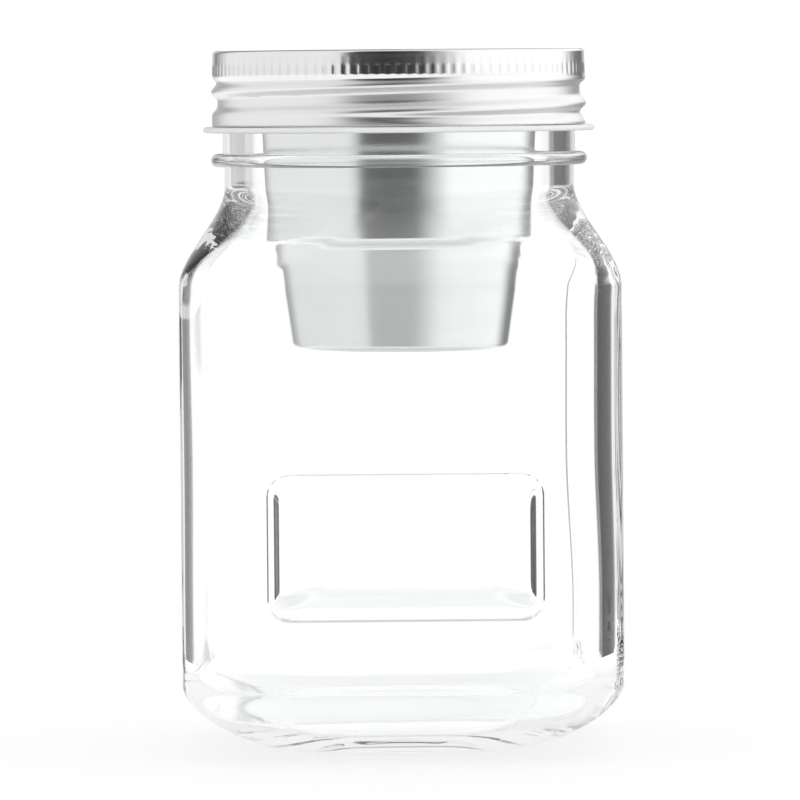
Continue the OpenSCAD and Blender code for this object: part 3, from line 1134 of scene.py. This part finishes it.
@dataclass
class ScrewBand:
    """The knurled screw band with its rolled thread. Sizes are in millimetres."""

    top: float = 134.75
    tall: float = 14.5
    sheet: float = 0.4
    reach: float = 35.9
    crest: float = 36.2
    hollow: float = 35.0
    opening: float = 30.48
    edge_round: float = 0.7
    knurl_tall: float = 4.3
    knurl_count: int = 112
    knurl_depth: float = 0.12
    knurl_flare: float = 0.1
    knurl_step: float = 1.7
    knurl_upper: float = 0.2
    flank_above: float = 0.42
    flank_below: float = 0.32
    foot_hold: float = 1.5
    # Painted shade on the band: dark on the crown's edge, in the knurl's flutes and in the crease under each
    # crest.
    edge_painted_shade: float = 0.8
    flute_painted_shade: float = 0.16
    crease_painted_shade: Span = (0.12, 0.72)
    crease_shade_width: float = 0.07
    thread: ScrewThread = ScrewThread()

    def thread_turn(self, angle: float, z: float) -> float:
        """Returns how far a point lies above the nearest crest of the thread, in turns from -0.5 to 0.5."""
        rise = (z - self.thread.low) / self.thread.pitch - (math.degrees(angle) - self.thread.start) / 360.0
        return (rise + 0.5) % 1.0 - 0.5

    def thread_swell(self, turns: float) -> float:
        """Returns the swell of the thread, 1 on a round crest and 0 in a flat hollow, steeper underneath."""
        flank = turns / self.flank_above if turns > 0.0 else -turns / self.flank_below
        return 0.5 + 0.5 * math.cos(math.pi * min(1.0, flank))

    def knurl_share(self, angle: float, z: float) -> float:
        """Finds how deep the knurl's flutes are at a point, deeper in the lower half of the crown.

        Args:
            angle: Direction in radians.
            z: Height.

        Returns:
            The share of the full depth.
        """
        high = self.top - self.edge_round
        foot = ease((z - high + self.knurl_tall + 0.2) / 0.9)
        whole = ease((high - 0.1 - z) / 0.8)
        lower = ease((high - self.knurl_step - z) / 0.8)
        flute = max(0.0, math.cos(self.knurl_count * angle)) ** 2
        return flute * foot * mix(lower, whole, self.knurl_upper)

    def painted_shade_share(self, angle: float, z: float) -> float:
        """Finds how much painted shade a point gets in the crease under a crest, in a flute or on the
        crown's edge.

        Args:
            angle: Direction in radians.
            z: Height.

        Returns:
            The share of painted shade, from 0 to 1.
        """
        knurl_foot = self.top - self.edge_round - self.knurl_tall
        # Painted shade on the crown's top edge.
        if z > self.top - 0.25 * self.edge_round:
            return self.edge_painted_shade
        # Painted shade in the knurl's flutes.
        if z > knurl_foot:
            return self.flute_painted_shade * self.knurl_share(angle, z)
        # Painted shade in a thin line in the crease just under each crest.
        painted_shade = 1.0 - abs(self.thread_turn(angle, z) + self.flank_below - 0.02) / self.crease_shade_width
        held = ease((knurl_foot - 0.6 - z) / 0.6) * ease((z - self.top + self.tall - 1.6) / 1.4)
        # The crease's painted shade is darker on the band's left side than on its right.
        shade = mix(*self.crease_painted_shade, ease((-math.cos(angle) - 0.25) / 0.6))
        return shade * max(0.0, painted_shade) * held

    def skirt_reach(self, angle: float, z: float) -> float:
        """Finds the outside radius of the skirt.

        Args:
            angle: Direction in radians.
            z: Height.

        Returns:
            The radius there.
        """
        foot = self.top - self.tall
        knurl_top = self.top - self.edge_round
        knurl_foot = knurl_top - self.knurl_tall
        wave = mix(self.hollow, self.crest, self.thread_swell(self.thread_turn(angle, z)))
        hold = self.foot_hold * ease((0.35 - math.cos(angle)) / 0.9)
        plain = mix(self.crest - 0.1, wave, ease((z - foot - hold) / 2.6))
        crown = self.reach + self.knurl_flare * ease((knurl_top - z) / self.knurl_tall)
        skirt = mix(crown, plain, ease((knurl_foot + 0.4 - z) / 2.0))
        return skirt - self.knurl_depth * self.knurl_share(angle, z)

    def place(self, z: float, inset: float, fixed: float | None = None) -> Place:
        """Makes the rule that places one ring of the band.

        Args:
            z: Height of the ring.
            inset: Distance in from the outside of the sheet.
            fixed: Radius of a ring that has no thread or knurl.

        Returns:
            A function from direction to point, in metres.
        """

        def put(angle: float) -> Vector:
            """Returns the point of the ring in one direction."""
            reach = (self.skirt_reach(angle, z) if fixed is None else fixed) - inset
            return Vector((reach * math.cos(angle), reach * math.sin(angle), z)) * MM

        return put

    def rings(self) -> Iterator[Place]:
        """Places the rings of the sheet, from the opening over the top, down outside and up inside.

        Yields:
            The rule that places each ring.
        """
        bend = self.reach - self.edge_round
        knurl_top = self.top - self.edge_round
        foot = self.top - self.tall
        for reach in (self.opening + 0.1, mix(self.opening, bend, 0.5), bend - 0.2):
            yield self.place(self.top, 0.0, reach)
        for turn in spread(math.pi / 2.0, 0.0, 8):
            z = knurl_top + self.edge_round * math.sin(turn)
            yield self.place(z, 0.0, bend + self.edge_round * math.cos(turn))
        heights = spread(knurl_top, foot + 0.15, 58)[1:]
        for z in heights:
            yield self.place(z, 0.0)
        yield self.place(foot, 0.12)
        yield self.place(foot, self.sheet - 0.12)
        for z in heights[::-1][::2]:
            yield self.place(z, self.sheet)
        inner = self.edge_round - self.sheet
        for turn in spread(0.0, math.pi / 2.0, 6):
            yield self.place(knurl_top + inner * math.sin(turn), 0.0, bend + inner * math.cos(turn))
        yield self.place(self.top - self.sheet, 0.0, self.opening + 0.1)
        yield self.place(self.top - self.sheet + 0.1, 0.0, self.opening)
        yield self.place(self.top - 0.1, 0.0, self.opening)

    def build(self) -> Piece:
        """Grows the band as one closed sheet.

        Returns:
            The band piece.
        """
        count = 4 * self.knurl_count
        rings = list(self.rings())
        skin = RingSkin([2.0 * math.pi * i / count for i in range(count)])
        skin.set_ring(rings[0])
        for place in rings[1:]:
            skin.grow(place)
        skin.join_ends()
        # The hollow layer carries the band's painted shade.
        for vert in skin.mesh.verts:
            if vert.co.xy.length / MM > self.reach - self.edge_round - 0.1:
                vert[skin.hollow] = self.painted_shade_share(vert[skin.turn], vert.co.z / MM)
        return make_piece("knurled_screw_band", skin.mesh, Body.BAND, "screw_band", 50.0)

    def dress(self, band: Piece, effects: SharedEffects) -> None:
        """Gives the band its finish.

        Args:
            band: The band piece.
            effects: The shared node groups.
        """
        tin = RolledFinish(
            name="tinplate band",
            colour=(0.84, 0.84, 0.835),
            worn_colour=(0.76, 0.765, 0.76),
            roughness=(0.1, 0.2),
            line_density=2600.0,
            line_height=0.003,
            # painted shade: the dark colour mixed in at creases, flutes and the crown's edge
            painted_shade_colour=(0.16, 0.165, 0.165),
            rolled_roughness=(0.28, 0.4),
            crown_span=(128.5 * MM, 129.5 * MM),
        )
        tin.put_on(band, effects, "tinplate_band")


class RayDesk(Desk):
    """The world's node tree, with sockets that tell where a ray goes and what it has met."""

    def __init__(self, tree: bpy.types.NodeTree) -> None:
        """Takes the world's tree and adds the sockets.

        Args:
            tree: The world's node tree.
        """
        super().__init__(tree)
        way = self.parts(self.add("ShaderNodeTexCoord").outputs["Generated"])
        azimuth = self.math("ARCTAN2", way["X"], self.math("MULTIPLY", way["Y"], -1.0))
        met = self.add("ShaderNodeLightPath").outputs
        self.side = way["X"]
        self.rise = way["Z"]
        self.around = self.math("ADD", self.math("DIVIDE", azimuth, 2.0 * math.pi), 0.5)
        self.from_front = self.math("ABSOLUTE", azimuth)
        self.matt = met["Is Diffuse Ray"]
        self.through = self.math("GREATER_THAN", met["Transmission Depth"], 0.5)
        self.right_through = self.math("GREATER_THAN", met["Transmission Depth"], 3.5)
        self.mirrored = self.math("GREATER_THAN", met["Glossy Depth"], 0.5)
        self.mirrored_again = self.math("GREATER_THAN", met["Glossy Depth"], 1.5)

    def both(self, first: Socket, second: Socket) -> Socket:
        """Returns the product of two shares."""
        return self.math("MULTIPLY", first, second)

    def unless(self, share: Socket) -> Socket:
        """Returns the rest of a share."""
        return self.math("SUBTRACT", 1.0, share)

    def rising(self, span: Span) -> Socket:
        """Returns a step over a span of the ray's rise, which is 1 straight up and -1 straight down."""
        return self.smooth(self.rise, span)

    def turning(self, span: Span) -> Socket:
        """Returns a step over a span of the way round the jar, 0.5 at its front and 0 or 1 behind."""
        return self.smooth(self.around, span)

    def past(self, high: Span, low: Span) -> Socket:
        """Returns the share of a ray that rises past one span or falls past another."""
        return self.math("MAXIMUM", self.rising(high), self.rising(low))


@dataclass
class Studio:
    """The floor, the light round the jar and the camera.

    A card is an azimuth in degrees, 0 at the front and 90 on the right, and its light.
    The spans of rise and of turn are those of RayDesk.
    """

    floor_reach: float = 0.17
    floor_back: float = 0.02
    floor_colour: Colour = (0.9, 0.9, 0.9)
    floor_light: float = 1.03
    floor_clear_light: float = 1.24
    floor_near_light: float = 0.98
    floor_glow: float = 0.8
    floor_clear_span: Span = (0.35, 0.9)
    path_length: int = 32
    brightest: float = 1.25
    metal_cards: tuple[Card, ...] = (
        (-180.0, 0.2), (-168.0, 0.8), (-156.0, 0.2), (-132.0, 0.95), (-36.0, 0.98), (-31.0, 0.07),
        (-8.0, 0.03), (14.0, 0.07), (42.0, 1.22), (122.0, 1.25), (140.0, 0.25), (156.0, 0.15),
        (168.0, 0.8), (180.0, 0.2),
    )
    glass_cards: tuple[Card, ...] = (
        (-180.0, 1.24), (-163.0, 1.24), (-156.0, 0.1), (-142.0, 0.12), (-134.0, 0.25), (-112.0, 0.25),
        (-106.0, 0.98), (-36.0, 0.98), (-31.0, 0.12), (20.0, 0.12), (36.0, 1.2), (96.0, 1.2), (102.0, 0.0),
        (154.0, 0.02), (164.0, 0.25), (170.0, 0.95), (175.0, 1.24), (180.0, 1.24),
    )
    clear_light: float = 1.24
    top_rise: Span = (0.75, 0.95)
    top_light: float = 0.9
    lid_right_rise: Span = (0.06, 0.25)
    lid_right_turn: Span = (0.78, 0.82)
    lid_right_light: float = 1.2
    under_rise: Span = (-0.05, -0.25)
    under_light: float = 1.12
    under_right_turn: Span = (0.83, 0.87)
    under_right_light: float = 0.35
    card_top: Span = (0.12, 0.55)
    card_foot: Span = (-0.18, -0.6)
    near_top: Span = (0.1, 0.3)
    near_foot: Span = (-0.15, -0.35)
    near_share: float = 0.62
    far_top: Span = (0.5, 0.8)
    far_foot: Span = (-0.5, -0.8)
    seen_foot: Span = (-0.11, -0.2)
    left_turn: Span = (0.047, 0.064)
    left_turn_end: Span = (0.206, 0.189)
    left_rise: Span = (-0.022, -0.014)
    left_rise_end: Span = (0.03, 0.02)
    left_light: float = 0.6
    back_turn: Span = (0.925, 0.942)
    pot_back: Span = (2.64, 2.76)
    deep_light: float = 0.86
    deep_left_light: float = 0.2
    deep_steep: Span = (0.1, 0.2)
    side_light: float = 0.15
    soft_light: float = 0.08
    camera_place: Point = (-0.000232, -1.236, 0.1299)
    camera_aim: Point = (-0.000232, 0.0, 0.067)
    camera_roll: float = -0.5
    lens: float = 287.4
    film: float = 36.0

    def floor_material(self) -> bpy.types.Material:
        """Makes a matt white that glows for rays that see it, so that it is white and keeps a soft shadow.

        Returns:
            The material.
        """
        material = bpy.data.materials.new("pale floor")
        material.use_nodes = True
        desk = Desk(material.node_tree)
        rays = desk.add("ShaderNodeLightPath").outputs
        seen = desk.math("MAXIMUM", rays["Is Camera Ray"], rays["Is Glossy Ray"])
        seen = desk.math("MAXIMUM", seen, rays["Is Transmission Ray"])
        reach = desk.vector("LENGTH", {0: desk.place()}, "Value")
        start, end = self.floor_clear_span
        rim = desk.smooth(reach, (start * self.floor_reach, end * self.floor_reach))
        clear = desk.ranged(rim, (self.floor_near_light, self.floor_clear_light))
        strength = desk.blend(rays["Is Camera Ray"], clear, self.floor_light)
        matt = desk.add("ShaderNodeBsdfDiffuse", {"Color": (*self.floor_colour, 1.0)}).outputs[0]
        glow = desk.add("ShaderNodeEmission", {"Strength": strength}).outputs[0]
        share = desk.math("MULTIPLY", seen, self.floor_glow)
        surface = desk.add("ShaderNodeMixShader", {0: share, 1: matt, 2: glow}).outputs[0]
        desk.add("ShaderNodeOutputMaterial", {"Surface": surface})
        return material

    def build_floor(self) -> Piece:
        """Lays a pale round floor.

        Returns:
            The floor.
        """
        mesh = bmesh.new()
        bmesh.ops.create_circle(mesh, cap_ends=True, segments=96, radius=self.floor_reach)
        bmesh.ops.translate(mesh, verts=mesh.verts[:], vec=(0.0, self.floor_back, 0.0))
        data = bpy.data.meshes.new("pale_floor")
        mesh.to_mesh(data)
        mesh.free()
        data.materials.append(self.floor_material())
        floor = bpy.data.objects.new("pale_floor", data)
        bpy.context.scene.collection.objects.link(floor)
        return floor

    def card_light(self, desk: RayDesk, cards: Sequence[Card]) -> Socket:
        """Adds the brightness of cards that stand round the jar.

        Args:
            desk: The world's desk.
            cards: The cards, in order.

        Returns:
            The brightness.
        """
        ramp = desk.add("ShaderNodeValToRGB", {"Fac": desk.around})
        stops = ramp.color_ramp.elements
        while len(stops) < len(cards):
            stops.new(0.5)
        for stop, (azimuth, light) in zip(stops, cards):
            stop.position = (azimuth + 180.0) / 360.0
            level = light / self.brightest
            stop.color = (level, level, level, 1.0)
        return desk.math("MULTIPLY", ramp.outputs["Color"], self.brightest)

    def lid_light(self, desk: RayDesk, cards: Socket) -> Socket:
        """Adds what the lid mirrors: cards, a pale ceiling, a bright right side and the floor.

        Args:
            desk: The world's desk.
            cards: The cards that metal mirrors.

        Returns:
            The brightness.
        """
        level = desk.blend(desk.rising(self.top_rise), cards, self.top_light)
        right = desk.both(desk.rising(self.lid_right_rise), desk.turning(self.lid_right_turn))
        level = desk.blend(right, level, self.lid_right_light)
        under = desk.blend(desk.turning(self.under_right_turn), self.under_light, self.under_right_light)
        return desk.blend(desk.rising(self.under_rise), level, under)

    def glass_light(self, desk: RayDesk, left: Socket) -> Socket:
        """Adds what the glass shows: dark cards at its sides, and white above, below and behind.

        Args:
            desk: The world's desk.
            left: Share of the left side.

        Returns:
            The brightness.
        """
        near = desk.past(self.near_top, self.near_foot)
        in_wall = desk.blend(self.near_share, desk.past(self.far_top, self.far_foot), near)
        clear = desk.blend(desk.right_through, in_wall, desk.past(self.card_top, self.seen_foot))
        level = desk.blend(clear, self.card_light(desk, self.glass_cards), self.clear_light)
        line = desk.both(desk.rising(self.left_rise), desk.rising(self.left_rise_end))
        level = desk.blend(desk.both(left, line), level, self.left_light)
        behind = desk.both(desk.right_through, desk.turning(self.back_turn))
        return desk.blend(behind, level, self.clear_light)

    def deep_glass_light(self, desk: RayDesk, left: Socket) -> Socket:
        """Adds the light of rays that the glass has mirrored inside more than once, dark on the left.

        Args:
            desk: The world's desk.
            left: Share of the left side.

        Returns:
            The brightness.
        """
        steep = desk.smooth(desk.math("ABSOLUTE", desk.rise), self.deep_steep)
        return desk.blend(desk.both(left, desk.unless(steep)), self.deep_light, self.deep_left_light)

    def light_world(self) -> None:
        """Lights the scene with a white surround that metal and glass see as a studio with dark cards."""
        world = bpy.data.worlds.new("studio")
        bpy.context.scene.world = world
        world.use_nodes = True
        desk = RayDesk(world.node_tree)
        left = desk.both(desk.turning(self.left_turn), desk.turning(self.left_turn_end))
        cards = self.card_light(desk, self.metal_cards)
        glass = self.glass_light(desk, left)
        metal = desk.blend(desk.past(self.card_top, self.card_foot), cards, 1.0)
        pot = desk.blend(desk.smooth(desk.from_front, self.pot_back), metal, glass)
        sideways = desk.math("ADD", desk.math("MULTIPLY", desk.side, self.side_light), self.soft_light)
        level = desk.math("ADD", desk.both(sideways, desk.matt), 1.0)
        level = desk.blend(desk.through, level, glass)
        level = desk.blend(desk.both(desk.mirrored, desk.right_through), level, pot)
        lid_seen = desk.both(desk.mirrored, desk.unless(desk.through))
        level = desk.blend(lid_seen, level, self.lid_light(desk, cards))
        deep = desk.both(desk.through, desk.mirrored_again)
        level = desk.blend(deep, level, self.deep_glass_light(desk, left))
        light = desk.add("ShaderNodeBackground", {"Color": (1.0, 1.0, 1.0, 1.0), "Strength": level})
        desk.add("ShaderNodeOutputWorld", {"Surface": light.outputs[0]})
        world.cycles.sampling_method = "NONE"
        paths = bpy.context.scene.cycles
        paths.max_bounces = self.path_length
        paths.glossy_bounces = self.path_length
        paths.transmission_bounces = self.path_length

    def set_camera(self) -> Piece:
        """Puts the camera where the photograph was taken from.

        Returns:
            The camera.
        """
        data = bpy.data.cameras.new("product_camera")
        data.lens = self.lens
        data.sensor_width = self.film
        camera = bpy.data.objects.new("product_camera", data)
        bpy.context.scene.collection.objects.link(camera)
        sight = Vector(self.camera_aim) - Vector(self.camera_place)
        camera.rotation_euler = sight.to_track_quat("-Z", "Y").to_euler()
        camera.rotation_euler.rotate_axis("Z", math.radians(self.camera_roll))
        camera.location = self.camera_place
        bpy.context.scene.camera = camera
        return camera


def main() -> None:
    """Builds the studio and every piece in order."""
    logging.basicConfig(level=logging.INFO, format="%(name)s: %(message)s")
    bpy.context.scene.view_settings.view_transform = "Standard"
    studio = Studio()
    studio.set_camera()
    studio.build_floor()
    studio.light_world()
    effects = SharedEffects()
    jar = GlassJar()
    jar.dress(jar.build_glass(), jar.build_ring(), effects)
    pot = SnackPot()
    pot.dress(pot.build_pot(), pot.build_gasket(), effects)
    disc = LidDisc()
    disc.dress(disc.build_disc(), disc.build_seal(), effects)
    band = ScrewBand()
    band.dress(band.build(), effects)
    bpy.context.view_layer.update()


if __name__ == "__main__":
    main()
